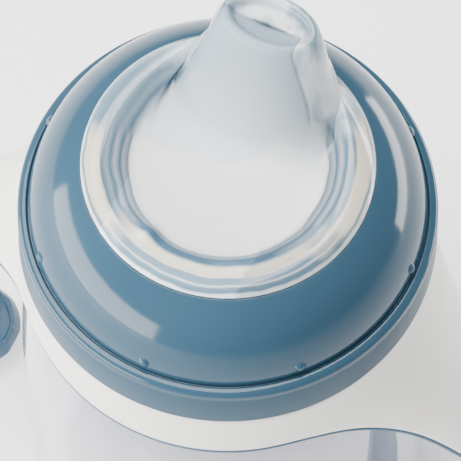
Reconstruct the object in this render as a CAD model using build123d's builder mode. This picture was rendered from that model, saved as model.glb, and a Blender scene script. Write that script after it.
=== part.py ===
# Learning bottle for a baby: a clear bottle with a threaded neck, a two-handled collar,
# a screw ring and a soft drinking spout that the ring clamps on the neck.
# Z is the bottle's axis, the handles lie along X, and the spout stands on the +Y side.
# The origin is the middle of the base's underside.
from build123d import *
from math import acos, asin, degrees, sqrt
import os

os.makedirs("parts", exist_ok=True)

# ---- driving dimensions, millimetres ----
ring_foot_z = 106.0         # underside of the screw ring, fully screwed down

# bottle
body_wall = 1.9
body_belly_radius = 38.2
body_waist_radius = 36.6
belly_z = 15.0
waist_z = 50.0
shoulder_radius = 31.2
shoulder_z = 92.6
base_radius = 31.0
punt_height = 1.6
punt_slope = 2.4
foot_land = 1.6
shoulder_rise = 1.1
neck_radius = 26.8
neck_wall = 2.1
neck_top_z = 118.4
neck_round = 0.6
bead_radius = 28.8
bead_bottom_z = 101.0
bead_top_z = 102.9
bead_chamfer = 1.6

# thread: one start, right-handed
thread_pitch = 4.0
thread_turns = 1.25
thread_depth = 1.1
thread_root_width = 1.9
thread_crest_width = 0.9
thread_sink = 0.3
neck_thread_z = 109.4
ring_thread_z = 107.4
ring_bore_radius = 28.3

# screw ring, heights above its own foot
ring_height = 22.0
ring_skirt_radius = 33.0
ring_skirt_top_radius = 32.35
ring_skirt_height = 9.4
ring_skirt_round = 1.2
ring_groove_top = 10.3
ring_groove_outer = 31.1
ring_groove_depth = 0.5
ring_edge_round = 0.4
ring_hole_radius = 21.95
ring_dome_radius = 18.2
ring_dome_z = 6.26
ring_wall = 2.2
ring_lip_wall = 1.8
ring_lip_foot = 14.8
pocket_inner = 30.2
pocket_outer = 31.2
pocket_height = 7.4
nub_count = 8
nub_radius = 1.1
nub_height = 11.1
nub_proud = 0.45

# drinking spout, heights above the ring's foot
teat_radius = 21.65
teat_flange_radius = 26.0
teat_flange_bottom = 12.5
teat_flange_top = 14.5
rim_edge_height = 21.7
rim_crown_height = 23.4
rim_crown_radius = 19.4
rim_inner_height = 22.6
rim_inner_radius = 17.0
floor_height = 20.9
floor_radius = 14.8
floor_wall = 2.4
teat_bore_radius = 19.2
spout_tip_y = 14.3
spout_wall = 2.3
# height above the ring's foot, centre along Y, half length along X, half depth along Y
spout_sections = [
    (19.4, 12.0, 14.6, 8.6),
    (26.4, 12.9, 11.0, 7.0),
    (34.0, 13.8, 8.7, 5.6),
    (41.0, spout_tip_y, 7.2, 4.5),
]
mouth_long = 9.6
mouth_short = 3.4
mouth_depth = 1.2
slit_long = 6.0
slit_wide = 0.5
slit_depth = 3.2

# handles, heights below the ring's foot
collar_gap = 0.3
collar_top_radius = 32.8
collar_foot_radius = 33.7
collar_depth = 12.3
collar_wall = 2.0
collar_web = 2.5
collar_bore_radius = 27.2
liner_thickness = 1.1
liner_edge = 0.5
shell_thickness = 3.2
strap_half_width = 8.0
handle_tip_x = 46.9
handle_tip_radius = 8.8
handle_tip_taper_x = 61.5
handle_split_z = 34.0
arm_reach = 30.0

# corners of the arm's outer line in the XZ plane, from the collar down to the free tip
arm_corners = [
    (31.9, 102.0),
    (43.2, 82.6),
    (65.2, 59.2),
    (62.8, 5.9),
    (41.0, 5.9),
]
arm_corner_radii = [30.0, 24.0, 19.0]
# half width of the arm seen from above, from the collar outwards to the plain strap
arm_plan = [
    (29.6, 18.3),
    (32.0, 16.0),
    (37.0, 12.6),
    (45.0, 9.4),
    (56.0, strap_half_width),
]


def thread_ridge(root_radius, crest_radius, start_z):
    """Solid helical ridge from root_radius to crest_radius, its root sunk into the wall."""
    outward = 1 if crest_radius > root_radius else -1
    with BuildPart() as ridge:
        with BuildLine() as path:
            Helix(thread_pitch, thread_pitch * thread_turns, root_radius)
        start = path.line @ 0
        with BuildSketch(Plane(origin=start, x_dir=(1, 0, 0), z_dir=(0, 1, 0))) as section:
            depth = abs(crest_radius - root_radius)
            inner = -outward * thread_sink
            with BuildLine():
                Polyline(
                    (inner, -thread_root_width / 2),
                    (outward * depth, -thread_crest_width / 2),
                    (outward * depth, thread_crest_width / 2),
                    (inner, thread_root_width / 2),
                    close=True,
                )
            make_face()
        sweep(path=path.line, is_frenet=True)
    return ridge.part.moved(Location((0, 0, start_z)))


def corner(across, up):
    """Corner of the profile being drawn, nearest to a place in its own plane."""
    return vertices().sort_by_distance((across, up))[0]


# ---- bottle body: moulded shell with a threaded neck and a bead that carries the collar ----
inner_neck_radius = neck_radius - neck_wall
inner_shoulder_z = shoulder_z + shoulder_rise - body_wall

with BuildPart() as bottle_body:
    with BuildSketch(Plane.XZ):
        with BuildLine():
            foot = Polyline(
                (0, punt_height),
                (base_radius - punt_slope, punt_height),
                (base_radius, 0),
                (base_radius + foot_land, 0),
            )
            heel = Spline(foot @ 1, (body_belly_radius, belly_z), tangents=[(1, 0), (0, 1)])
            side = Spline(
                heel @ 1,
                (body_waist_radius, waist_z),
                (shoulder_radius, shoulder_z),
                tangents=[(0, 1), (-0.5, 1)],
            )
            neck = Polyline(
                side @ 1,
                (neck_radius, shoulder_z + shoulder_rise),
                (neck_radius, neck_top_z),
                (inner_neck_radius, neck_top_z),
                (inner_neck_radius, inner_shoulder_z),
                (shoulder_radius - body_wall, inner_shoulder_z - shoulder_rise),
            )
            inside = Spline(
                neck @ 1,
                (body_waist_radius - body_wall, waist_z),
                (body_belly_radius - body_wall, belly_z),
                tangents=[(0.5, -1), (0, -1)],
            )
            inner_heel = Spline(
                inside @ 1,
                (base_radius, punt_height + body_wall),
                tangents=[(0, -1), (-1, 0)],
            )
            Polyline(inner_heel @ 1, (0, punt_height + body_wall), (0, punt_height))
        make_face()
        fillet(corner(neck_radius, neck_top_z), radius=neck_round)
        fillet(corner(inner_neck_radius, neck_top_z), radius=neck_round)
    revolve(axis=Axis.Z)
    with BuildSketch(Plane.XZ):
        with BuildLine():
            Polyline(
                (neck_radius - thread_sink, bead_bottom_z - bead_chamfer),
                (bead_radius, bead_bottom_z),
                (bead_radius, bead_top_z),
                (neck_radius - thread_sink, bead_top_z),
                close=True,
            )
        make_face()
    revolve(axis=Axis.Z)
    add(thread_ridge(neck_radius, neck_radius + thread_depth, neck_thread_z))
bottle_body.part.label = "bottle_body"
export_step(bottle_body.part, "parts/bottle_body.step")


# ---- screw ring: stepped skirt, domed top, sealing lip round the hole ----
dome_top = ring_height - ring_dome_z
dome_foot = ring_groove_top - ring_dome_z
dome_centre = ring_hole_radius - sqrt(ring_dome_radius**2 - dome_top**2)
inner_dome = ring_dome_radius - ring_wall
lip_radius = ring_hole_radius + ring_lip_wall
dome_top_angle = degrees(asin(dome_top / ring_dome_radius))
dome_foot_angle = degrees(asin(dome_foot / ring_dome_radius))
inner_top_angle = degrees(acos((lip_radius - dome_centre) / inner_dome))
inner_foot_angle = degrees(acos((ring_bore_radius - dome_centre) / inner_dome))
ring_plane = Plane(origin=(0, 0, ring_foot_z), x_dir=(1, 0, 0), z_dir=(0, -1, 0))

with BuildPart() as screw_ring:
    with BuildSketch(ring_plane):
        with BuildLine():
            dome = CenterArc(
                (dome_centre, ring_dome_z),
                ring_dome_radius,
                dome_foot_angle,
                dome_top_angle - dome_foot_angle,
            )
            ceiling = CenterArc(
                (dome_centre, ring_dome_z),
                inner_dome,
                inner_foot_angle,
                inner_top_angle - inner_foot_angle,
            )
            Polyline(
                dome @ 1,
                (ring_hole_radius, ring_lip_foot),
                (lip_radius, ring_lip_foot),
                ceiling @ 1,
            )
            Polyline(
                ceiling @ 0,
                (ring_bore_radius, 0),
                (pocket_inner, 0),
                (pocket_inner, pocket_height),
                (pocket_outer, pocket_height),
                (pocket_outer, 0),
                (ring_skirt_radius, 0),
                (ring_skirt_top_radius, ring_skirt_height),
                (ring_groove_outer, ring_skirt_height),
                (ring_groove_outer - ring_edge_round, ring_skirt_height - ring_groove_depth),
                ((dome @ 0).X, ring_skirt_height - ring_groove_depth),
                dome @ 0,
            )
        make_face()
        fillet(corner(ring_skirt_top_radius, ring_skirt_height), radius=ring_skirt_round)
        fillet(corner(ring_skirt_radius, 0), radius=ring_edge_round)
        fillet(corner(ring_hole_radius, ring_height), radius=ring_edge_round)
    revolve(axis=Axis.Z)
    nub_centre = dome_centre + sqrt(ring_dome_radius**2 - (nub_height - ring_dome_z) ** 2)
    with Locations((0, 0, ring_foot_z + nub_height)):
        with PolarLocations(nub_centre + nub_proud - nub_radius, nub_count):
            Sphere(nub_radius)
    add(thread_ridge(ring_bore_radius, ring_bore_radius - thread_depth, ring_thread_z))
screw_ring.part.label = "screw_ring"
export_step(screw_ring.part, "parts/screw_ring.step")


# ---- drinking spout: one soft moulding, clamped by its flange ----
def spout_form(inset):
    """Solid through the spout's oval sections, drawn in and down by a wall thickness."""
    with BuildPart() as form:
        for height, centre_y, half_long, half_short in spout_sections:
            with BuildSketch(Plane.XY.offset(ring_foot_z + height - inset)):
                with Locations((0, centre_y)):
                    Ellipse(half_long - inset, half_short - inset)
        loft()
    return form.part


with BuildPart() as drinking_spout:
    with BuildSketch(ring_plane):
        with BuildLine():
            floor = Line((0, floor_height), (floor_radius, floor_height))
            rim = Spline(
                floor @ 1,
                (rim_inner_radius, rim_inner_height),
                (rim_crown_radius, rim_crown_height),
                (teat_radius, rim_edge_height),
                tangents=[(1, 0.1), (0.25, -1)],
            )
            Polyline(
                rim @ 1,
                (teat_radius, teat_flange_top),
                (teat_flange_radius, teat_flange_top),
                (teat_flange_radius, teat_flange_bottom),
                (teat_bore_radius, teat_flange_bottom),
                (teat_bore_radius, floor_height - floor_wall),
                (0, floor_height - floor_wall),
                (0, floor_height),
            )
        make_face()
    revolve(axis=Axis.Z)
    add(spout_form(0))
    add(spout_form(spout_wall), mode=Mode.SUBTRACT)
    tip_plane = Plane.XY.offset(ring_foot_z + spout_sections[-1][0])
    with BuildSketch(tip_plane):
        with Locations((0, spout_tip_y)):
            Ellipse(mouth_long / 2, mouth_short / 2)
    extrude(amount=-mouth_depth, mode=Mode.SUBTRACT)
    with BuildSketch(tip_plane):
        with Locations((0, spout_tip_y)):
            SlotOverall(slit_long, slit_wide)
    extrude(amount=-slit_depth, mode=Mode.SUBTRACT)
drinking_spout.part.label = "drinking_spout"
export_step(drinking_spout.part, "parts/drinking_spout.step")


# ---- handles: rigid shell with a soft liner on its inner faces ----
tip_centre_x = handle_tip_x + handle_tip_radius
arm_end_x = tip_centre_x + arm_reach

with BuildPart() as arm_envelope:
    with BuildSketch(Plane.XY.offset(handle_split_z)):
        with BuildLine():
            for side in (-1, 1):
                waist = Spline(
                    *[(x, side * half_width) for x, half_width in arm_plan],
                    tangents=[(1, -side), (1, 0)],
                )
                Line(waist @ 1, (arm_end_x, side * strap_half_width))
                Line(waist @ 0, (arm_plan[0][0], 0))
                Line((arm_end_x, side * strap_half_width), (arm_end_x, 0))
        make_face()
    extrude(amount=ring_foot_z - handle_split_z)
    with BuildSketch(Plane.XY):
        with BuildLine():
            tip = CenterArc((tip_centre_x, 0), handle_tip_radius, 90, 180)
            Polyline(
                tip @ 0,
                (handle_tip_taper_x, strap_half_width),
                (arm_end_x, strap_half_width),
                (arm_end_x, -strap_half_width),
                (handle_tip_taper_x, -strap_half_width),
                tip @ 1,
            )
        make_face()
    extrude(amount=handle_split_z)


def arm_layer(near, far):
    """The +X arm's layer between two depths under its outer line."""
    with BuildPart() as arm:
        with BuildSketch(Plane.XZ):
            with BuildLine():
                FilletPolyline(*arm_corners, radius=arm_corner_radii)
                offset(amount=far, side=Side.RIGHT)
            make_face()
            if near > 0:
                with BuildLine():
                    FilletPolyline(*arm_corners, radius=arm_corner_radii)
                    offset(amount=near, side=Side.RIGHT)
                make_face(mode=Mode.SUBTRACT)
        extrude(amount=arm_reach, both=True)
        add(arm_envelope.part, mode=Mode.INTERSECT)
    return arm.part


collar_foot_z = ring_foot_z - collar_depth
collar_top_z = ring_foot_z - collar_gap

with BuildPart() as handle_shell:
    with BuildSketch(Plane.XZ):
        with BuildLine():
            Polyline(
                (collar_bore_radius, collar_top_z),
                (collar_top_radius, collar_top_z),
                (collar_foot_radius, collar_foot_z),
                (collar_foot_radius - collar_wall, collar_foot_z),
                (collar_top_radius - collar_wall, collar_top_z - collar_web),
                (collar_bore_radius, collar_top_z - collar_web),
                close=True,
            )
        make_face()
    revolve(axis=Axis.Z)
    shell_arm = arm_layer(0, shell_thickness)
    for turn in (0, 180):
        add(shell_arm, rotation=(0, 0, turn))
handle_shell.part.label = "handle_shell"
export_step(handle_shell.part, "parts/handle_shell.step")

with BuildPart() as handle_liner:
    with BuildSketch(Plane.XZ):
        with Locations((collar_foot_radius - collar_wall, collar_foot_z - liner_edge)):
            Rectangle(collar_wall, liner_edge, align=(Align.MIN, Align.MIN))
    revolve(axis=Axis.Z)
    liner_arm = arm_layer(shell_thickness, shell_thickness + liner_thickness)
    for turn in (0, 180):
        add(liner_arm, rotation=(0, 0, turn))
    split(bisect_by=Plane.XY.offset(collar_foot_z), keep=Keep.BOTTOM)
    add(handle_shell.part, mode=Mode.SUBTRACT)
handle_liner.part.label = "handle_liner"
export_step(handle_liner.part, "parts/handle_liner.step")
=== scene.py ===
import bpy
import bmesh
import math
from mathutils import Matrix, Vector
from mathutils.geometry import interpolate_bezier


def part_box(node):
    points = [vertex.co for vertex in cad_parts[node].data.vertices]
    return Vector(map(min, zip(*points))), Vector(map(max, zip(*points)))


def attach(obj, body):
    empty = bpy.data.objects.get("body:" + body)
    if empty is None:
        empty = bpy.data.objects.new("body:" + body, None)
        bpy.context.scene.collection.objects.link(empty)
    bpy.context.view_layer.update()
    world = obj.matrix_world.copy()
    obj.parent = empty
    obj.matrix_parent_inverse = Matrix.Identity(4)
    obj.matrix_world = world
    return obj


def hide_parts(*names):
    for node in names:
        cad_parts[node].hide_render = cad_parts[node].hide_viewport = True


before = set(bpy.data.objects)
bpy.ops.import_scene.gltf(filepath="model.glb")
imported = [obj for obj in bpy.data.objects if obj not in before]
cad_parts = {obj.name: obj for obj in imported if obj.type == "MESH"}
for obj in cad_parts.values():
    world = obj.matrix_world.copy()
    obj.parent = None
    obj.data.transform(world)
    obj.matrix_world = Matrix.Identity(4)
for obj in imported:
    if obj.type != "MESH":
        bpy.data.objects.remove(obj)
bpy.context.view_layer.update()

mmToM = 0.001
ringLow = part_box("screw_ring")[0]
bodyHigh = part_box("bottle_body")[1]
footZ = ringLow.z / mmToM        # the ring's lower edge, from which all but the bottle take their heights
print("frame loaded, ring foot at", round(footZ, 2), "mm")


def linear(hexColour):
    # sRGB hex to the linear colour that the shaders take
    channels = [int(hexColour[i:i + 2], 16) / 255 for i in (1, 3, 5)]
    return tuple(c / 12.92 if c <= 0.04045 else ((c + 0.055) / 1.055) ** 2.4 for c in channels) + (1.0,)


def addNode(tree, kind, values=None, links=None, **settings):
    # one node with its settings, its unlinked inputs and what feeds the linked ones
    node = tree.nodes.new(kind)
    for name, value in settings.items():
        setattr(node, name, value)
    for socket, value in (values or {}).items():
        node.inputs[socket].default_value = value
    for socket, source in (links or {}).items():
        tree.links.new(source, node.inputs[socket])
    return node


def newMaterial(name):
    material = bpy.data.materials.new(name)
    material.use_nodes = True
    material.node_tree.nodes.clear()
    return material, material.node_tree


def setStops(ramp, stops):
    # a colour ramp's stops as (position, hex colour), in rising order
    elements = ramp.color_ramp.elements
    for element, (position, tone) in zip((elements[0], elements[1]), (stops[0], stops[-1])):
        element.position = position
        element.color = linear(tone)
    for position, tone in stops[1:-1]:
        elements.new(position).color = linear(tone)


def makePiece(name, bm, material, body, replaced):
    # bmesh in mm to a finished object in metres that rides on its body and hides its CAD node
    bmesh.ops.scale(bm, vec=(mmToM,) * 3, verts=bm.verts)
    for face in bm.faces:
        face.smooth = True
    mesh = bpy.data.meshes.new(name)
    bm.to_mesh(mesh)
    bm.free()
    mesh.materials.append(material)
    piece = bpy.data.objects.new(name, mesh)
    bpy.context.scene.collection.objects.link(piece)
    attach(piece, body)
    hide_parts(replaced)
    return piece


def addSmoothing(piece):
    # subdivision, the same in the viewport and in the render
    smooth = piece.modifiers.new("smooth", "SUBSURF")
    smooth.levels = smooth.render_levels = 2


def bearing(azimuth, elevation):
    # unit vector away from the bottle, in degrees, with azimuth 0 on the -Y side
    a, e = math.radians(azimuth), math.radians(elevation)
    return Vector((math.sin(a) * math.cos(e), -math.cos(a) * math.cos(e), math.sin(e)))


def loopPairs(items):
    # each item with the next one, and the last with the first
    return list(zip(items, items[1:] + items[:1]))


def roundedProfile(corners):
    # corners are (radius, height, rounding); each rounding above zero becomes an arc
    arcSteps = 5
    points = []
    count = len(corners)
    for i, (r, z, rounding) in enumerate(corners):
        here = Vector((r, z))
        if rounding <= 0:
            points.append(here)
            continue
        before = (Vector(corners[i - 1][:2]) - here).normalized()
        after = (Vector(corners[(i + 1) % count][:2]) - here).normalized()
        half = before.angle(after) / 2
        reach = rounding / math.tan(half)
        centre = here + (before + after).normalized() * rounding / math.sin(half)
        start = here + before * reach - centre
        end = here + after * reach - centre
        for k in range(arcSteps + 1):
            t = k / arcSteps
            spoke = (start * (1 - t) + end * t).normalized() * rounding
            points.append(centre + spoke)
    return points


def spunShell(profile, steps):
    # closed ring of (radius, height) points turned round the bottle's axis
    bm = bmesh.new()
    verts = [bm.verts.new((p[0], 0, p[1])) for p in profile]
    edges = [bm.edges.new(pair) for pair in loopPairs(verts)]
    bmesh.ops.spin(bm, geom=verts + edges, cent=(0, 0, 0), axis=(0, 0, 1), dvec=(0, 0, 0),
                   angle=math.tau, steps=steps, use_merge=True, use_duplicate=False)
    bmesh.ops.remove_doubles(bm, verts=bm.verts, dist=0.001)
    bmesh.ops.recalc_face_normals(bm, faces=bm.faces)
    return bm


def addThread(bm, root, side, startZ, thread):
    # one helical ridge, outward for side 1 and inward for -1: its section is spun with a rise on each step
    crest = root + thread["depth"] * side
    sink = thread["sink"] * side
    wide, narrow = thread["rootWidth"] / 2, thread["crestWidth"] / 2
    section = [(root - sink, -wide), (crest, -narrow), (crest, narrow), (root - sink, wide)]
    verts = [bm.verts.new((r, 0, startZ + z)) for r, z in section]
    cap = bm.faces.new(verts)
    steps = thread["steps"]
    rise = thread["pitch"] * thread["turns"] / steps
    bmesh.ops.spin(bm, geom=[cap], cent=(0, 0, 0), axis=(0, 0, 1), dvec=(0, 0, rise),
                   angle=math.tau * thread["turns"], steps=steps, use_duplicate=False)
    bmesh.ops.recalc_face_normals(bm, faces=bm.faces)


def bezierRun(start, startHandle, endHandle, end, count):
    # points of one bezier in the profile plane, without its first point
    run = interpolate_bezier(Vector(start), Vector(startHandle), Vector(endHandle), Vector(end), count)
    return [(p.x, p.y, 0) for p in run[1:]]


# the thread that ring and neck share; its root is sunk into the wall
thread = {"pitch": 4.0, "turns": 1.25, "depth": 1.1, "sink": 0.3, "rootWidth": 1.9, "crestWidth": 0.9,
          "steps": 110}


def ringMaterial(ring):
    # polypropylene, injection moulded in a polished tool: deep even blue with a clear, slightly soft gloss
    material, tree = newMaterial("Polypropylene polished moulded blue")
    place = addNode(tree, "ShaderNodeTexCoord")
    drift = addNode(tree, "ShaderNodeTexNoise", {"Scale": 38.0, "Detail": 2.0, "Roughness": 0.5},
                    {"Vector": place.outputs["Object"]})
    ramp = addNode(tree, "ShaderNodeValToRGB", links={"Fac": drift.outputs["Fac"]})
    setStops(ramp, [(0.35, "#284151"), (0.65, "#2b4555")])
    # mould skin: a faint 0.6 mm orange peel
    peel = addNode(tree, "ShaderNodeTexNoise", {"Scale": 1600.0, "Detail": 2.0},
                   {"Vector": place.outputs["Object"]})
    bump = addNode(tree, "ShaderNodeBump", {"Strength": 0.02, "Distance": 0.0002},
                   {"Height": peel.outputs["Fac"]})
    sheen = addNode(tree, "ShaderNodeMapRange",
                    {"From Min": 0.3, "From Max": 0.7, "To Min": 0.09, "To Max": 0.13},
                    {"Value": drift.outputs["Fac"]})
    # the skirt's wall is satin for grip, the dome above it polished
    axes = addNode(tree, "ShaderNodeSeparateXYZ", links={"Vector": place.outputs["Object"]})
    low, high = ((footZ + height) * mmToM for height in ring["satinFade"])
    gloss = addNode(tree, "ShaderNodeMapRange",
                    {"From Min": low, "From Max": high, "To Min": 0.04, "To Max": 0.22},
                    {"Value": axes.outputs["Z"]})
    satin = addNode(tree, "ShaderNodeMapRange",
                    {"From Min": low, "From Max": high, "To Min": 0.22, "To Max": 0.0},
                    {"Value": axes.outputs["Z"]})
    rough = addNode(tree, "ShaderNodeMath",
                    links={0: sheen.outputs["Result"], 1: satin.outputs["Result"]}, operation="ADD")
    shader = addNode(tree, "ShaderNodeBsdfPrincipled", {"IOR": 1.49},
                     {"Base Color": ramp.outputs["Color"], "Roughness": rough.outputs[0],
                      "Specular IOR Level": gloss.outputs["Result"], "Normal": bump.outputs["Normal"]})
    addNode(tree, "ShaderNodeOutputMaterial", links={"Surface": shader.outputs[0]})
    return material


def shellMaterial():
    # polypropylene, injection moulded in a satin tool: warm white, a broad soft sheen and a 0.45 mm grain
    material, tree = newMaterial("Polypropylene satin moulded white")
    place = addNode(tree, "ShaderNodeTexCoord")
    grain = addNode(tree, "ShaderNodeTexNoise", {"Scale": 2200.0, "Detail": 3.0},
                    {"Vector": place.outputs["Object"]})
    cloud = addNode(tree, "ShaderNodeTexNoise", {"Scale": 30.0, "Detail": 2.0},
                    {"Vector": place.outputs["Object"]})
    ramp = addNode(tree, "ShaderNodeValToRGB", links={"Fac": cloud.outputs["Fac"]})
    setStops(ramp, [(0.3, "#d9d6ce"), (0.7, "#dfdcd5")])
    bump = addNode(tree, "ShaderNodeBump", {"Strength": 0.06, "Distance": 0.0001},
                   {"Height": grain.outputs["Fac"]})
    shader = addNode(tree, "ShaderNodeBsdfPrincipled",
                     {"IOR": 1.49, "Roughness": 0.36, "Subsurface Weight": 0.12,
                      "Subsurface Radius": (0.004, 0.0035, 0.003), "Subsurface Scale": 1.0},
                     {"Base Color": ramp.outputs["Color"], "Normal": bump.outputs["Normal"]})
    addNode(tree, "ShaderNodeOutputMaterial", links={"Surface": shader.outputs[0]})
    return material


def linerMaterial():
    # thermoplastic elastomer, overmoulded: muted blue, soft and matt to the touch
    material, tree = newMaterial("Thermoplastic elastomer overmoulded blue")
    place = addNode(tree, "ShaderNodeTexCoord")
    grain = addNode(tree, "ShaderNodeTexNoise", {"Scale": 1500.0, "Detail": 3.0},
                    {"Vector": place.outputs["Object"]})
    ramp = addNode(tree, "ShaderNodeValToRGB", links={"Fac": grain.outputs["Fac"]})
    setStops(ramp, [(0.3, "#34546b"), (0.7, "#3b5d75")])
    bump = addNode(tree, "ShaderNodeBump", {"Strength": 0.12, "Distance": 0.0001},
                   {"Height": grain.outputs["Fac"]})
    shader = addNode(tree, "ShaderNodeBsdfPrincipled",
                     {"IOR": 1.5, "Roughness": 0.55, "Sheen Weight": 0.15},
                     {"Base Color": ramp.outputs["Color"], "Normal": bump.outputs["Normal"]})
    addNode(tree, "ShaderNodeOutputMaterial", links={"Surface": shader.outputs[0]})
    return material


def bottleMaterial():
    # copolyester, injection moulded: water-clear with faint flow lines down its height, about 8 mm apart
    material, tree = newMaterial("Copolyester clear moulded")
    place = addNode(tree, "ShaderNodeTexCoord")
    stretch = addNode(tree, "ShaderNodeMapping", {"Scale": (1.0, 1.0, 0.06)},
                      {"Vector": place.outputs["Object"]})
    flow = addNode(tree, "ShaderNodeTexNoise", {"Scale": 130.0, "Detail": 2.0},
                   {"Vector": stretch.outputs["Vector"]})
    bump = addNode(tree, "ShaderNodeBump", {"Strength": 0.12, "Distance": 0.0006},
                   {"Height": flow.outputs["Fac"]})
    shader = addNode(tree, "ShaderNodeBsdfPrincipled",
                     {"Base Color": linear("#f4f4fb"), "Roughness": 0.03, "IOR": 1.54,
                      "Transmission Weight": 0.85},
                     {"Normal": bump.outputs["Normal"]})
    addNode(tree, "ShaderNodeOutputMaterial", links={"Surface": shader.outputs[0]})
    return material


def reflectionBandRamp(tree, place, bands):
    # bands of painted reflection are (radius in mm, colour) from the floor out to the rim's edge, and waver
    # by half a millimetre
    first, last = bands[0][0], bands[-1][0]
    flat = addNode(tree, "ShaderNodeVectorMath", {1: (1 / mmToM, 1 / mmToM, 0)}, {0: place},
                   operation="MULTIPLY")
    radius = addNode(tree, "ShaderNodeVectorMath", links={0: flat.outputs[0]}, operation="LENGTH")
    waver = addNode(tree, "ShaderNodeTexNoise", {"Scale": 170.0, "Detail": 3.0}, {"Vector": place})
    shift = addNode(tree, "ShaderNodeMapRange", {"To Min": -0.45, "To Max": 0.45},
                    {"Value": waver.outputs["Fac"]})
    moved = addNode(tree, "ShaderNodeMath",
                    links={0: radius.outputs["Value"], 1: shift.outputs["Result"]}, operation="ADD")
    reach = addNode(tree, "ShaderNodeMapRange", {"From Min": first, "From Max": last},
                    {"Value": moved.outputs[0]})
    ramp = addNode(tree, "ShaderNodeValToRGB", links={"Fac": reach.outputs["Result"]})
    setStops(ramp, [((stop - first) / (last - first), tone) for stop, tone in bands])
    return ramp.outputs["Color"]


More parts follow.
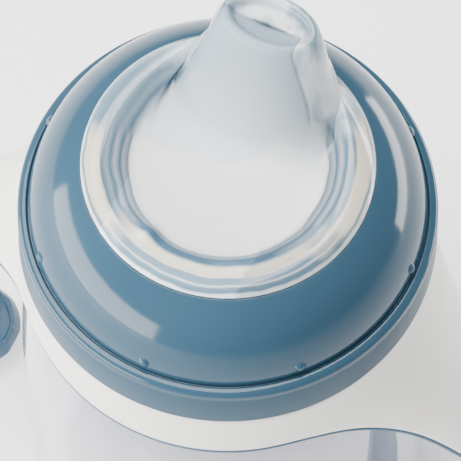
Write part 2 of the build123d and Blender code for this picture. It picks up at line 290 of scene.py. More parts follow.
def siliconeMaterial(spout):
    # liquid silicone rubber: clear and wet-looking where the tool is polished, frosted where it is blasted;
    # the thick clear rim's ivory and blue bands are painted reflections and refractions, set out by radius
    material, tree = newMaterial("Liquid silicone rubber moulded clear")
    place = addNode(tree, "ShaderNodeTexCoord").outputs["Object"]
    frost = addNode(tree, "ShaderNodeAttribute", attribute_name="frost").outputs["Fac"]
    axes = addNode(tree, "ShaderNodeSeparateXYZ", links={"Vector": place})
    # painted reflections: the rim's bands change with the way each point faces, the front ones towards the
    # camera's side
    around = addNode(tree, "ShaderNodeVectorMath", {1: (1, 1, 0)}, {0: place}, operation="MULTIPLY")
    unit = addNode(tree, "ShaderNodeVectorMath", links={0: around.outputs[0]}, operation="NORMALIZE")
    facing = addNode(tree, "ShaderNodeVectorMath", {1: spout["bandAxis"]}, {0: unit.outputs[0]},
                     operation="DOT_PRODUCT")
    swirl = addNode(tree, "ShaderNodeTexNoise", {"Scale": 120.0, "Detail": 2.0}, {"Vector": place})
    turned = addNode(tree, "ShaderNodeMath", links={0: facing.outputs["Value"], 1: swirl.outputs["Fac"]},
                     operation="ADD")
    (frontFrom, frontTo), (backFrom, backTo) = spout["frontFade"], spout["backFade"]
    frontReflectionShare = addNode(tree, "ShaderNodeMapRange", {"From Min": frontFrom, "From Max": frontTo},
                         {"Value": turned.outputs[0]})
    backReflectionShare = addNode(tree, "ShaderNodeMapRange", {"From Min": backFrom, "From Max": backTo},
                        {"Value": turned.outputs[0]})
    # painted shade: the floor and face are painted darker and bluish towards the spout, and the spout is
    # cloudy above the rim
    shadeFrom, shadeTo = (reach * mmToM for reach in spout["faceShadeFade"])
    shade = addNode(tree, "ShaderNodeMapRange", {"From Min": shadeFrom, "From Max": shadeTo},
                    {"Value": axes.outputs["Y"]})
    shadeShare = addNode(tree, "ShaderNodeMath", links={0: shade.outputs["Result"], 1: frost},
                   operation="MULTIPLY")
    shadeColour = addNode(tree, "ShaderNodeRGB")
    shadeColour.outputs[0].default_value = linear(spout["faceShadeTone"])
    drawn = addNode(tree, "ShaderNodeVectorMath", {1: (1.0, 1.0, 0.22)}, {0: place}, operation="MULTIPLY")
    streak = addNode(tree, "ShaderNodeTexNoise", {"Scale": 210.0, "Detail": 3.0},
                     {"Vector": drawn.outputs[0]})
    cloud = addNode(tree, "ShaderNodeValToRGB", links={"Fac": streak.outputs["Fac"]})
    setStops(cloud, spout["cloudTones"])
    low = (footZ + spout["cloudFrom"]) * mmToM
    rise = addNode(tree, "ShaderNodeMapRange", {"From Min": low, "From Max": low + 0.002},
                   {"Value": axes.outputs["Z"]})
    bare = addNode(tree, "ShaderNodeMath", {0: 1.0}, {1: frost}, operation="SUBTRACT")
    upper = addNode(tree, "ShaderNodeMath", links={0: rise.outputs["Result"], 1: bare.outputs[0]},
                    operation="MULTIPLY")
    # a fine dark line where the blasted face ends: painted shade for the step at the recessed face's edge
    halfway = addNode(tree, "ShaderNodeMath", links={0: frost, 1: bare.outputs[0]}, operation="MULTIPLY")
    rule = addNode(tree, "ShaderNodeMath", {1: 3.0}, {0: halfway.outputs[0]}, operation="MULTIPLY")
    drawnRule = addNode(tree, "ShaderNodeMath", links={0: rule.outputs[0], 1: rise.outputs["Result"]},
                        operation="MULTIPLY")
    edgeShadeTone = addNode(tree, "ShaderNodeRGB")
    edgeShadeTone.outputs[0].default_value = linear(spout["edgeShadeTone"])
    # each tone lies over those before it by its share
    tone = reflectionBandRamp(tree, place, spout["sideReflectionBands"])
    layers = ((backReflectionShare.outputs["Result"], reflectionBandRamp(tree, place, spout["backReflectionBands"])),
              (frontReflectionShare.outputs["Result"], reflectionBandRamp(tree, place, spout["frontReflectionBands"])),
              (shadeShare.outputs[0], shadeColour.outputs[0]),
              (upper.outputs[0], cloud.outputs["Color"]),
              (drawnRule.outputs[0], edgeShadeTone.outputs[0]))
    for share, over in layers:
        mix = addNode(tree, "ShaderNodeMix", links={0: share, 6: tone, 7: over}, data_type="RGBA")
        tone = mix.outputs[2]
    # the blasted skin is grainy at about 0.4 mm, the polished skin gently wavy
    grain = addNode(tree, "ShaderNodeTexNoise", {"Scale": 2600.0, "Detail": 3.0}, {"Vector": place})
    wave = addNode(tree, "ShaderNodeTexNoise", {"Scale": 90.0, "Detail": 2.0}, {"Vector": place})
    height = addNode(tree, "ShaderNodeMath", {1: 0.35}, {0: grain.outputs["Fac"]}, operation="MULTIPLY")
    relief = addNode(tree, "ShaderNodeMath", links={0: height.outputs[0], 1: frost}, operation="MULTIPLY")
    both = addNode(tree, "ShaderNodeMath", links={0: relief.outputs[0], 1: wave.outputs["Fac"]},
                   operation="ADD")
    bump = addNode(tree, "ShaderNodeBump", {"Strength": 0.1, "Distance": 0.0004},
                   {"Height": both.outputs[0]})
    rough = addNode(tree, "ShaderNodeMapRange", {"To Min": 0.07, "To Max": 0.5}, {"Value": frost})
    through = addNode(tree, "ShaderNodeMapRange", {"To Min": 0.42, "To Max": 0.08}, {"Value": frost})
    shader = addNode(tree, "ShaderNodeBsdfPrincipled", {"IOR": 1.41},
                     {"Base Color": tone, "Roughness": rough.outputs["Result"],
                      "Transmission Weight": through.outputs["Result"], "Normal": bump.outputs["Normal"]})
    addNode(tree, "ShaderNodeOutputMaterial", links={"Surface": shader.outputs[0]})
    return material


# the camera looks at the middle of the ring's foot; angles in degrees, distance in m, lens and sensor in mm
cameraSetup = {"azimuth": 24.0, "elevation": 65.3, "roll": 0.37, "distance": 0.3465,
               "lens": 171.8, "sensor": 36.0, "shift": (0.00607, -0.01367), "clipStart": 0.01}


def makeCamera(setup):
    back = bearing(setup["azimuth"], setup["elevation"])
    aim = Vector((0, 0, ringLow.z))
    data = bpy.data.cameras.new("camera")
    data.sensor_width = setup["sensor"]
    data.lens = setup["lens"]
    data.shift_x, data.shift_y = setup["shift"]
    data.clip_start = setup["clipStart"]
    camera = bpy.data.objects.new("camera", data)
    bpy.context.scene.collection.objects.link(camera)
    camera.location = aim + back * setup["distance"]
    camera.rotation_euler = back.to_track_quat("Z", "Y").to_euler()
    camera.rotation_euler.rotate_axis("Z", math.radians(setup["roll"]))
    bpy.context.scene.camera = camera


makeCamera(cameraSetup)


# the screw ring: a stepped skirt, a groove and a dome with eight snap nubs
ring = {"bore": 28.3, "skirt": 33.0, "skirtTop": 32.35, "skirtHeight": 9.4, "height": 22.0, "hole": 21.95,
        "domeRadius": 18.2, "domeHeight": 6.26, "wall": 2.2, "lipWall": 1.8, "lipFoot": 14.8,
        "grooveTop": 10.3, "grooveOuter": 31.05, "grooveDepth": 0.6, "pocket": (30.2, 31.2, 7.4),
        "grooveLean": 0.25, "nubs": 8, "nubHeight": 11.1, "nubRadius": 1.1, "nubProud": 0.45,
        "satinFade": (7.6, 8.6), "threadStart": 1.4, "arcSteps": 40, "ceilingSteps": 16, "steps": 256}


def arcPoints(centre, radius, startAngle, endAngle, count):
    step = (endAngle - startAngle) / count
    return [(centre[0] + radius * math.cos(startAngle + step * k),
             centre[1] + radius * math.sin(startAngle + step * k), 0) for k in range(count + 1)]


def makeRing(ring, material):
    radius = ring["domeRadius"]
    domeZ = ring["domeHeight"]
    domeX = ring["hole"] - math.sqrt(radius ** 2 - (ring["height"] - domeZ) ** 2)
    footAngle = math.asin((ring["grooveTop"] - domeZ) / radius)
    topAngle = math.asin((ring["height"] - domeZ) / radius) - 0.03        # just short of the lip's rounding
    dome = arcPoints((domeX, domeZ), radius, footAngle, topAngle, ring["arcSteps"])
    inner = radius - ring["wall"]
    lip = ring["hole"] + ring["lipWall"]
    lipAngle = math.acos((lip - domeX) / inner)
    boreAngle = math.acos((ring["bore"] - domeX) / inner)
    ceiling = arcPoints((domeX, domeZ), inner, lipAngle, boreAngle, ring["ceilingSteps"])
    pocketIn, pocketOut, pocketTop = ring["pocket"]
    grooveFloor = ring["skirtHeight"] - ring["grooveDepth"]
    profile = roundedProfile(
        [(ring["bore"], 0, 0.3), (pocketIn, 0, 0.3), (pocketIn, pocketTop, 0.3),
         (pocketOut, pocketTop, 0.3), (pocketOut, 0, 0.3),
         (ring["skirt"], 0, 0.35), (ring["skirtTop"], ring["skirtHeight"], 1.15),
         (ring["grooveOuter"], ring["skirtHeight"], 0.1),
         (ring["grooveOuter"] - ring["grooveLean"], grooveFloor, 0.12),
         (dome[0][0] - 0.02, grooveFloor, 0.12)]
        + dome
        + [(ring["hole"], ring["height"], 0.15), (ring["hole"], ring["lipFoot"], 0.4),
           (lip, ring["lipFoot"], 0.4)]
        + ceiling)
    bm = spunShell([(p[0], p[1] + footZ) for p in profile], ring["steps"])
    addThread(bm, ring["bore"], -1, footZ + ring["threadStart"], thread)
    domeAtNub = domeX + math.sqrt(radius ** 2 - (ring["nubHeight"] - domeZ) ** 2)
    away = domeAtNub + ring["nubProud"] - ring["nubRadius"]
    for k in range(ring["nubs"]):
        angle = math.tau * k / ring["nubs"]
        place = (away * math.cos(angle), away * math.sin(angle), footZ + ring["nubHeight"])
        nub = bmesh.ops.create_icosphere(bm, subdivisions=4, radius=ring["nubRadius"])["verts"]
        bmesh.ops.translate(bm, verts=nub, vec=place)
    return makePiece("screw_ring_visual", bm, material, "ring", "screw_ring")


makeRing(ring, ringMaterial(ring))
print("screw ring made")


# the bottle: one spun shell, outside up and inside down; the pulls are the bezier handles along its side
bottle = {"puntHeight": 1.6, "footIn": 28.6, "foot": (31.0, 32.6), "belly": (38.2, 15.0),
          "waist": (36.6, 50.0), "shoulder": (31.2, 92.6), "heelPull": (3.4, 5.4), "bellyPull": 10,
          "waistPull": ((0.5, 9), (0.7, 12)), "shoulderPull": (3.6, 7.4), "rise": 1.1, "wall": 1.9,
          "neck": 26.8, "neckWall": 2.1, "bead": (28.8, 101.0, 102.9), "beadRoot": 1.6,
          "threadStart": 109.4, "sideSteps": (18, 16, 22), "steps": 256}


def bottleSide(bottle, inset):
    # bezier runs up the side, drawn in by a wall thickness
    belly = (bottle["belly"][0] - inset, bottle["belly"][1])
    waist = (bottle["waist"][0] - inset, bottle["waist"][1])
    shoulder = (bottle["shoulder"][0] - inset, bottle["shoulder"][1] - inset * 0.5)
    heelStart = (bottle["foot"][1] - inset * 0.8, inset)
    heelOut, heelUp = bottle["heelPull"]
    (belowOut, below), (aboveIn, above) = bottle["waistPull"]
    shoulderOut, shoulderDown = bottle["shoulderPull"]
    heelSteps, lowSteps, highSteps = bottle["sideSteps"]
    heel = bezierRun(heelStart, (heelStart[0] + heelOut, inset),
                     (belly[0], belly[1] - heelUp), belly, heelSteps)
    low = bezierRun(belly, (belly[0], belly[1] + bottle["bellyPull"]),
                    (waist[0] + belowOut, waist[1] - below), waist, lowSteps)
    high = bezierRun(waist, (waist[0] - aboveIn, waist[1] + above),
                     (shoulder[0] + shoulderOut, shoulder[1] - shoulderDown), shoulder, highSteps)
    return [heelStart + (0,)] + heel + low + high


def makeBottle(bottle, material):
    neckTop = bodyHigh.z / mmToM
    neckIn = bottle["neck"] - bottle["neckWall"]
    baseTop = bottle["puntHeight"] + bottle["wall"]
    beadRadius, beadLow, beadHigh = bottle["bead"]
    shoulderTop = bottle["shoulder"][1] + bottle["rise"]
    profile = roundedProfile(
        [(0, bottle["puntHeight"], 0), (bottle["footIn"], bottle["puntHeight"], 1.2),
         (bottle["foot"][0], 0, 0.5)]
        + bottleSide(bottle, 0)
        + [(bottle["neck"], shoulderTop, 0.6), (bottle["neck"], beadLow - bottle["beadRoot"], 0.4),
           (beadRadius, beadLow, 0.3), (beadRadius, beadHigh, 0.3),
           (bottle["neck"], beadHigh, 0.4), (bottle["neck"], neckTop, 0.6),
           (neckIn, neckTop, 0.6), (neckIn, shoulderTop - bottle["wall"], 1.5)]
        + list(reversed(bottleSide(bottle, bottle["wall"])))
        + [(bottle["foot"][0] - 1.5, baseTop, 0), (0, baseTop, 0)])
    bm = spunShell(profile, bottle["steps"])
    addThread(bm, bottle["neck"], 1, bottle["threadStart"], thread)
    return makePiece("bottle_body_visual", bm, material, "bottle", "bottle_body")


makeBottle(bottle, bottleMaterial())
print("bottle body made")


# each loop runs round the spout: centre along Y, half length along X, half depth along Y,
# front height and back height above the ring's foot, and how late the rise to the back comes
spout = {
    "segments": 72,
    # the camera's side, which the front bands of painted reflection face, and how far round they and the
    # back bands reach
    "bandAxis": (0.4067, -0.9135, 0.0), "frontFade": (0.95, 1.35), "backFade": (0.32, 0.12),
    # the bands by radius, painted reflections and refractions on the clear rim; the painted shade tone of
    # the floor and face, the tones of the spout above them, and the painted shade of the line at the
    # blasted face's edge
    "frontReflectionBands": [(14.0, "#d3d3d2"), (15.0, "#cfcfcf"), (15.2, "#7f8b95"), (15.8, "#74828e"),
                   (16.0, "#34566e"), (17.0, "#3f6178"), (17.4, "#a9b3b8"), (17.7, "#dfd8c4"),
                   (19.2, "#cfcabb"), (19.5, "#5f7b8d"), (20.3, "#5f7b8d"), (20.55, "#bfc6ca"),
                   (20.8, "#5c7788"), (21.35, "#557183"), (21.65, "#d8dfe2"), (22.0, "#d8dfe2")],
    "sideReflectionBands": [(14.0, "#d3d3d2"), (14.8, "#cfcfcf"), (15.0, "#65757f"), (15.7, "#9aa4ab"),
                  (16.1, "#44647a"), (16.8, "#a9b1b6"), (17.4, "#4f6f84"), (18.0, "#8ea1ac"),
                  (18.8, "#587587"), (19.1, "#e3dac3"), (21.0, "#e6dec9"), (21.4, "#5f7b8d"),
                  (21.7, "#dfe4e6"), (22.0, "#dfe4e6")],
    "backReflectionBands": [(14.0, "#c3c8cc"), (15.0, "#98a4ae"), (15.6, "#557085"), (16.4, "#8b9eab"),
                  (17.2, "#6f8a9b"), (18.4, "#94a8b5"), (19.8, "#6f8b9c"), (21.2, "#7f99a8"),
                  (21.6, "#bccad2"), (22.0, "#bccad2")],
    "faceShadeTone": "#778995", "cloudTones": ((0.4, "#7f97a6"), (0.58, "#e6edf0")), "edgeShadeTone": "#4d6578",
    "faceShadeFade": (1.0, 12.5), "cloudFrom": 24.5,
    # the blasted zones: floor and face fade out from a limit over a width, and the face's half width
    # goes from its foot's to its tip's as it rises, with a little more on the -X side
    "frost": {"floorRadius": (14.2, 0.9), "floorTop": (22.2, 1.2), "faceFront": (13.6, 1.0),
              "faceFade": 0.5, "faceHalf": (9.9, 4.6), "faceRise": (22.0, 18.0), "leftExtra": 2.4,
              "lowest": 19.8},
    # the vent: a small swelling on the rim's inner edge, as x, y, height and spread, on the upper skin only
    "vent": (-5.6, -15.3, 1.3, 1.5), "upperSkin": 20.5,
    "under": [
        (14.4, 2.5, 0.06, 37.9, 38.0, 1), (14.4, 4.6, 1.8, 37.31, 37.58, 1),
        (14.3, 5, 2.3, 36.51, 36.87, 1), (14.1, 6, 3, 32.18, 32.62, 1), (13.9, 6.9, 3.7, 27.75, 28.2, 1),
        (13.4, 8, 4.6, 23.33, 24.21, 1), (12.4, 9.4, 5.9, 19.4, 20.4, 1), (11, 10.6, 7.2, 18.5, 18.9, 1),
        (4, 14, 13.2, 18.4, 18.4, 1), (0, 18.2, 18.2, 18.4, 18.4, 1), (0, 19, 19, 18.2, 18.2, 1),
        (0, 19.2, 19.2, 17.6, 17.6, 1), (0, 19.2, 19.2, 13.1, 13.1, 1), (0, 19.5, 19.5, 12.5, 12.5, 1),
        (0, 25.6, 25.6, 12.5, 12.5, 1), (0, 26, 26, 12.8, 12.8, 1), (0, 26, 26, 14.2, 14.2, 1),
        (0, 25.7, 25.7, 14.5, 14.5, 1), (0, 22.0, 22.0, 14.5, 14.5, 1), (0, 21.7, 21.7, 14.9, 14.9, 1),
        (0, 21.82, 21.82, 20.9, 20.9, 1)],
    "top": [
        (0, 21.86, 21.86, 21.95, 21.98, 4), (0, 22.05, 22.05, 22.08, 22.12, 4),
        (0, 21.8, 21.8, 22.4, 22.55, 4), (0, 21.3, 21.3, 22.85, 23.5, 3),
        (0.05, 20.3, 20.4, 23.19, 25.2, 2.6), (0.3, 19.3, 19.7, 23.33, 26.6, 2.6),
        (0.85, 18.1, 18.9, 23.06, 27.9, 2.6), (1.55, 17, 18.1, 22.44, 29.1, 2.6),
        (2.1, 16, 17.6, 21.6, 30.0, 2.8), (2.65, 15, 17.1, 21, 30.9, 3),
        (3.4, 13.7, 16.5, 20.85, 31.6, 3.2), (6.6, 13.6, 13.2, 20.85, 32.3, 3.2),
        (10.0, 13.0, 9.8, 20.95, 33.1, 2.6), (11.7, 12.5, 8.0, 21.9, 34.0, 2),
        (12.7, 11.1, 6.9, 23.95, 35.0, 1.8), (13.3, 10.0, 6.1, 27.31, 36.2, 1.5),
        (13.8, 9.25, 5.5, 31.29, 37.5, 1.2), (14.1, 8.7, 5.05, 35.27, 38.9, 1),
        (14.3, 8.0, 4.8, 38.37, 40.23, 1), (14.35, 7.6, 4.5, 39.88, 41.1, 1),
        (14.4, 7.1, 4.1, 40.75, 41.65, 1), (14.4, 6.4, 3.4, 40.9, 41.6, 1),
        (14.4, 5.9, 2.9, 40.5, 41.1, 1), (14.4, 5.65, 2.65, 40.0, 40.4, 1),
        (14.4, 5.3, 2.3, 39.75, 40.1, 1), (14.4, 4.2, 1.3, 39.7, 40.0, 1),
        (14.4, 2.7, 0.3, 39.65, 39.8, 1), (14.4, 2.5, 0.06, 39.5, 39.6, 1)],
}


def placeLoop(verts, loop):
    centreY, halfLong, halfDeep, frontZ, backZ, late = loop
    for k, vert in enumerate(verts):
        angle = math.tau * k / len(verts)
        back = ((1 + math.sin(angle)) / 2) ** late
        vert.co = (halfLong * math.cos(angle), centreY + halfDeep * math.sin(angle),
                   footZ + frontZ + (backZ - frontZ) * back)


def fade(value, start, width):
    # 0 up to the start, then up to 1 over the width
    return min(max((value - start) / width, 0), 1)


def frostAt(x, y, z, frost):
    # share of blasting at a point in mm from the ring's foot: the sunk floor and the spout's front face
    if z <= frost["lowest"]:
        return 0
    floor = (1 - fade(math.hypot(x, y), *frost["floorRadius"])) * (1 - fade(z, *frost["floorTop"]))
    footHalf, tipHalf = frost["faceHalf"]
    edge = footHalf + (tipHalf - footHalf) * fade(z, *frost["faceRise"])
    if x < 0:
        edge += frost["leftExtra"]
    face = (1 - fade(abs(x), edge, frost["faceFade"])) * (1 - fade(y, *frost["faceFront"]))
    return max(floor, face)


def startLoop(bm, count):
    # first row of vertices, in order round the axis
    verts = bmesh.ops.create_circle(bm, segments=count, radius=1)["verts"]
    return sorted(verts, key=lambda vert: math.atan2(vert.co.y, vert.co.x) % math.tau)


def extrudeLoop(bm, verts, closed=True):
    # next row of vertices in the same order as the last
    pairs = loopPairs(verts) if closed else loopPairs(verts)[:-1]
    edges = [bm.edges.get(pair) for pair in pairs]
    made = bmesh.ops.extrude_edge_only(bm, edges=edges)["geom"]
    fresh = {item for item in made if isinstance(item, bmesh.types.BMVert)}
    row = []
    for vert in verts:
        neighbours = [edge.other_vert(vert) for edge in vert.link_edges]
        row.append(next(other for other in neighbours if other in fresh))
    return row


def makeSpout(spout, material):
    bm = bmesh.new()
    loops = spout["under"] + spout["top"]
    first = startLoop(bm, spout["segments"])
    placeLoop(first, loops[0])
    row = first
    for loop in loops[1:]:
        row = extrudeLoop(bm, row)
        placeLoop(row, loop)
    # the last loop closes on the first through the drinking slit
    bmesh.ops.bridge_loops(bm, edges=[bm.edges.get(pair) for pair in loopPairs(row) + loopPairs(first)])
    bmesh.ops.recalc_face_normals(bm, faces=bm.faces)
    piece = makePiece("drinking_spout_visual", bm, material, "spout", "drinking_spout")
    addSmoothing(piece)
    # the smoothing is applied, so that each vertex of the fine mesh takes its own frost
    bpy.context.view_layer.update()
    shaped = bpy.data.meshes.new_from_object(piece.evaluated_get(bpy.context.evaluated_depsgraph_get()))
    piece.modifiers.clear()
    piece.data = shaped
    frost = shaped.attributes.new("frost", "FLOAT", "POINT")
    ventX, ventY, ventHeight, ventSpread = spout["vent"]
    for vert, item in zip(shaped.vertices, frost.data):
        x, y, z = (c / mmToM for c in vert.co)
        item.value = frostAt(x, y, z - footZ, spout["frost"])
        if z - footZ > spout["upperSkin"]:
            away = math.hypot(x - ventX, y - ventY) / ventSpread
            vert.co.z += ventHeight * math.exp(-away ** 2) * mmToM
    return piece


makeSpout(spout, siliconeMaterial(spout))
print("drinking spout made")


# the handles: one sheet for the collar and both arms, thickened by modifiers
handles = {
    # columns across the arms, with one close to each edge to keep it crisp
    "armHalfAngle": 50.0, "armColumns": 18, "sideColumns": 14, "tightColumn": 0.93,
    # collar: radius and height at top and foot, rows down it, and the flat web in to the neck
    "collarTop": (32.8, -0.3), "collarFoot": (33.7, -12.4), "topRound": 0.45,
    "collarRows": (0.0, 0.2, 0.55, 0.88, 1.0),
    "webBore": 27.3, "webRows": ((2.2, 0.0), (0.5, 0.05)),
    "shell": 2.9, "liner": 1.1, "lap": 0.02, "padTop": -66.0, "tipCentre": (55.8, -96.5),
    # the liner's edge bead: depth under the outer surface and reach past the border
    "bead": [(0.15, -0.3), (0.1, 0.45), (0.45, 0.7), (3.2, 0.7), (3.6, 0.4), (3.6, -0.3)],
    # stations down the arm: edge (x, half width, z) and crown (x, z), from the ring's foot
    "stations": [
        ((21.66, 25.81, -12.4), (32.95, -1.6)),
        ((25.0, 22.5, -13.7), (33.9, -4.6)),
        ((28.5, 18.9, -15.8), (35.7, -8.2)),
        ((32.0, 16.0, -17.8), (38.2, -12.4)),
        ((36.0, 13.4, -20.7), (41.2, -16.9)),
        ((40.0, 11.2, -24.5), (44.6, -21.6)),
        ((45.5, 9.5, -30.0), (49.0, -27.2)),
        ((51.5, 8.3, -36.4), (54.0, -33.9)),
        ((57.4, 8.0, -43.4), (59.2, -41.6)),
        ((61.0, 8.0, -51.0), (62.9, -50.2)),
        ((62.2, 8.0, -60.0), (64.1, -60.2)),
        ((62.2, 8.0, -70.0), (64.1, -70.6)),
        ((61.6, 8.1, -79.5), (63.4, -80.4)),
        ((59.6, 8.4, -88.6), (61.0, -90.0)),
        ((56.2, 8.8, -95.6), (57.0, -97.3)),
        ((52.4, 8.1, -98.0), (52.4, -99.5)),
        ((49.6, 6.25, -98.6), (49.6, -99.8)),
        ((48.1, 4.3, -99.0), (48.1, -99.6)),
        ((47.4, 2.6, -99.2), (47.4, -99.4))],
}


def armPoint(station, t, halfAngle):
    # t runs from -1 at the near edge over 0 at the crown to 1 at the far edge
    (edgeX, halfWidth, edgeZ), (crownX, crownZ) = station
    lift = (math.cos(halfAngle * t) - math.cos(halfAngle)) / (1 - math.cos(halfAngle))
    across = halfWidth * math.sin(halfAngle * t) / math.sin(halfAngle)
    return Vector((edgeX + (crownX - edgeX) * lift, across, edgeZ + (crownZ - edgeZ) * lift))


def collarRadius(handles, z):
    topR, topZ = handles["collarTop"]
    footR, lowZ = handles["collarFoot"]
    return topR + (footR - topR) * (z - topZ) / (lowZ - topZ)


def handleSkin(handles, withWeb):
    # outer surface of collar and arms as one open sheet, in mm
    half = math.radians(handles["armHalfAngle"])
    tight = handles["tightColumn"]
    even = [-1 + 2 * k / handles["armColumns"] for k in range(handles["armColumns"] + 1)]
    spans = sorted(set([round(t, 5) for t in even] + [-tight, tight]))
    gap = (math.pi - 2 * half) / handles["sideColumns"]
    halfTurn = [half * t for t in spans] + [half + gap * k for k in range(1, handles["sideColumns"])]
    around = halfTurn + [angle + math.pi for angle in halfTurn]
    bm = bmesh.new()
    row = startLoop(bm, len(around))
    topR, topZ = handles["collarTop"]
    lowZ = handles["collarFoot"][1]
    arch = handles["stations"][0]

    def lowest(angle):
        # the collar ends at its foot, and at the arms in an arch
        turned = (angle + math.pi / 2) % math.pi - math.pi / 2
        if abs(turned) >= half - 1e-6:
            return lowZ
        return armPoint(arch, turned / half, half).z

    if withWeb:
        for vert, angle in zip(row, around):
            vert.co = (handles["webBore"] * math.cos(angle), handles["webBore"] * math.sin(angle), topZ)
        for inset, drop in handles["webRows"]:
            row = extrudeLoop(bm, row)
            for vert, angle in zip(row, around):
                vert.co = ((topR - inset) * math.cos(angle), (topR - inset) * math.sin(angle), topZ - drop)
        row = extrudeLoop(bm, row)
    start = topZ - handles["topRound"]
    for share in handles["collarRows"]:
        if share:
            row = extrudeLoop(bm, row)
        for vert, angle in zip(row, around):
            z = start + (lowest(angle) - start) * share
            radius = collarRadius(handles, z)
            vert.co = (radius * math.cos(angle), radius * math.sin(angle), z)
    for side, offset in ((1, 0), (-1, len(halfTurn))):
        armRow = row[offset:offset + len(spans)]
        for station in handles["stations"][1:]:
            armRow = extrudeLoop(bm, armRow, closed=False)
            for vert, t in zip(armRow, spans):
                point = armPoint(station, t, half)
                vert.co = (point.x * side, point.y * side, point.z)
    bmesh.ops.recalc_face_normals(bm, faces=bm.faces)
    # an open sheet may come out inside out: its crown has to face away from the axis
    probe = max(bm.faces, key=lambda f: f.calc_center_median().x)
    if probe.normal.x < 0:
        bmesh.ops.reverse_faces(bm, faces=bm.faces)
    bmesh.ops.translate(bm, verts=bm.verts, vec=(0, 0, footZ))
    return bm


def makeHandleShell(handles, material):
    bm = handleSkin(handles, True)
    piece = makePiece("handle_shell_visual", bm, material, "handles", "handle_shell")
    thick = piece.modifiers.new("wall", "SOLIDIFY")
    thick.thickness = handles["shell"] * mmToM
    thick.offset = -1
    thick.use_even_offset = False
    addSmoothing(piece)
    return piece


def lowerBorders(bm, handles):
    # the sheet's open borders as loops of vertices, without the one round the neck
    loops, seen = [], set()
    for start in (edge for edge in bm.edges if edge.is_boundary):
        if start in seen:
            continue
        seen.add(start)
        loop = list(start.verts)
        while True:
            ahead = [e for e in loop[-1].link_edges if e.is_boundary and e not in seen]
            if not ahead:
                break
            seen.add(ahead[0])
            loop.append(ahead[0].other_vert(loop[-1]))
        loop = loop[:-1] if loop[-1] is loop[0] else loop
        if min(vert.co.z for vert in loop) < footZ + handles["collarFoot"][1]:
            loops.append(loop)
    return loops


def edgeSections(loop, handles):
    # the bead's outline set up at each border vertex: depth under the surface and reach past the edge
    sections = []
    tipX, tipZ = handles["tipCentre"]
    for i, vert in enumerate(loop):
        along = (loop[(i + 2) % len(loop)].co - loop[i - 2].co).normalized()
        away = along.cross(vert.normal).normalized()
        inward = vert.link_faces[0].calc_center_median() - vert.co
        if away.dot(inward) > 0:
            away = -away
        if vert.co.z < footZ + tipZ and abs(vert.co.x) < tipX:
            # round the tip the way out is straight away from the middle of its arc
            away = Vector((vert.co.x - math.copysign(tipX, vert.co.x), vert.co.y, 0)).normalized()
        sections.append([vert.co - vert.normal * depth + away * reach for depth, reach in handles["bead"]])
    return sections


def makeHandleLiner(handles, material):
    bm = handleSkin(handles, False)
    bm.normal_update()
    beads = [edgeSections(loop, handles) for loop in lowerBorders(bm, handles)]
    # grip pads on the inside of the lower arms
    high = [face for face in bm.faces if face.calc_center_median().z > footZ + handles["padTop"]]
    bmesh.ops.delete(bm, geom=high, context="FACES")
    for vert in bm.verts:
        vert.co -= vert.normal * (handles["shell"] - handles["lap"])
    border = [edge for edge in bm.edges if edge.is_boundary]
    doubled = bmesh.ops.duplicate(bm, geom=bm.verts[:] + bm.edges[:] + bm.faces[:])
    partner = doubled["vert_map"]
    inner = [item for item in doubled["geom"] if isinstance(item, bmesh.types.BMFace)]
    for vert in {vert for face in inner for vert in face.verts}:
        vert.co -= vert.normal * handles["liner"]
    bmesh.ops.reverse_faces(bm, faces=inner)
    for edge in border:
        start, end = edge.verts
        bm.faces.new((start, end, partner[end], partner[start]))
    # its edge wraps the rim and shows as a fine line
    for sections in beads:
        rows = [[bm.verts.new(point) for point in section] for section in sections]
        for row, after in loopPairs(rows):
            for (here, there), (nextHere, nextThere) in zip(loopPairs(row), loopPairs(after)):
                bm.faces.new((here, there, nextThere, nextHere))
    bmesh.ops.recalc_face_normals(bm, faces=bm.faces)
    piece = makePiece("handle_liner_visual", bm, material, "handles", "handle_liner")
    addSmoothing(piece)
    return piece


makeHandleShell(handles, shellMaterial())
makeHandleLiner(handles, linerMaterial())
print("handles made")


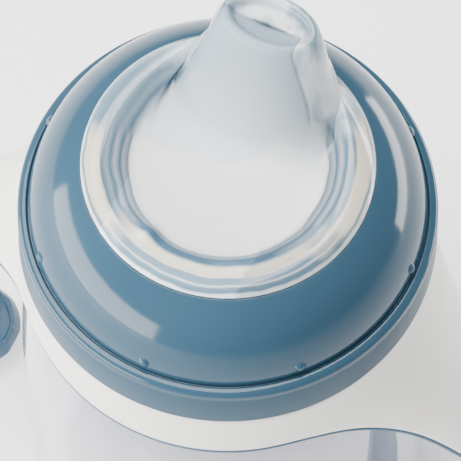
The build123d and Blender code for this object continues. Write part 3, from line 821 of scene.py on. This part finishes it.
# floor and light; a softbox is its azimuth, elevation, distance, width and height in m, and watts
studio = {"floorHalf": 3.0, "floorTone": "#f6f6f7", "skyTone": "#e6e9ee", "skyStrength": 0.3,
          "softboxes": {"leftSoftbox": (-46, 5, 0.8, 1.25, 0.3, 24.0),
                        "rightSoftbox": (142, -6, 0.6, 0.5, 0.16, 4.5),
                        "topSoftbox": (-80, 74, 0.9, 0.8, 0.8, 34.0)}}


def makeFloor(studio):
    bm = bmesh.new()
    bmesh.ops.create_grid(bm, x_segments=1, y_segments=1, size=studio["floorHalf"])
    mesh = bpy.data.meshes.new("floor")
    bm.to_mesh(mesh)
    bm.free()
    material, tree = newMaterial("Painted board matt white")
    place = addNode(tree, "ShaderNodeTexCoord")
    tooth = addNode(tree, "ShaderNodeTexNoise", {"Scale": 300.0}, {"Vector": place.outputs["Object"]})
    bump = addNode(tree, "ShaderNodeBump", {"Strength": 0.02, "Distance": 0.0005},
                   {"Height": tooth.outputs["Fac"]})
    shader = addNode(tree, "ShaderNodeBsdfPrincipled",
                     {"Base Color": linear(studio["floorTone"]), "Roughness": 0.8},
                     {"Normal": bump.outputs["Normal"]})
    addNode(tree, "ShaderNodeOutputMaterial", links={"Surface": shader.outputs[0]})
    mesh.materials.append(material)
    floor = bpy.data.objects.new("floor", mesh)
    bpy.context.scene.collection.objects.link(floor)


def addSoftbox(name, azimuth, elevation, distance, width, height, power):
    # rectangular soft light that faces the middle of the ring's foot
    away = bearing(azimuth, elevation)
    data = bpy.data.lights.new(name, "AREA")
    data.shape = "RECTANGLE"
    data.size, data.size_y = width, height
    data.energy = power
    light = bpy.data.objects.new(name, data)
    bpy.context.scene.collection.objects.link(light)
    light.location = Vector((0, 0, ringLow.z)) + away * distance
    light.rotation_euler = away.to_track_quat("Z", "Y").to_euler()


def makeLight(studio):
    world = bpy.data.worlds.new("studio")
    bpy.context.scene.world = world
    world.use_nodes = True
    world.node_tree.nodes.clear()
    sky = addNode(world.node_tree, "ShaderNodeBackground",
                  {"Color": linear(studio["skyTone"]), "Strength": studio["skyStrength"]})
    addNode(world.node_tree, "ShaderNodeOutputWorld", links={"Surface": sky.outputs[0]})
    for name, settings in studio["softboxes"].items():
        addSoftbox(name, *settings)


makeFloor(studio)
makeLight(studio)
print("stage and light made")
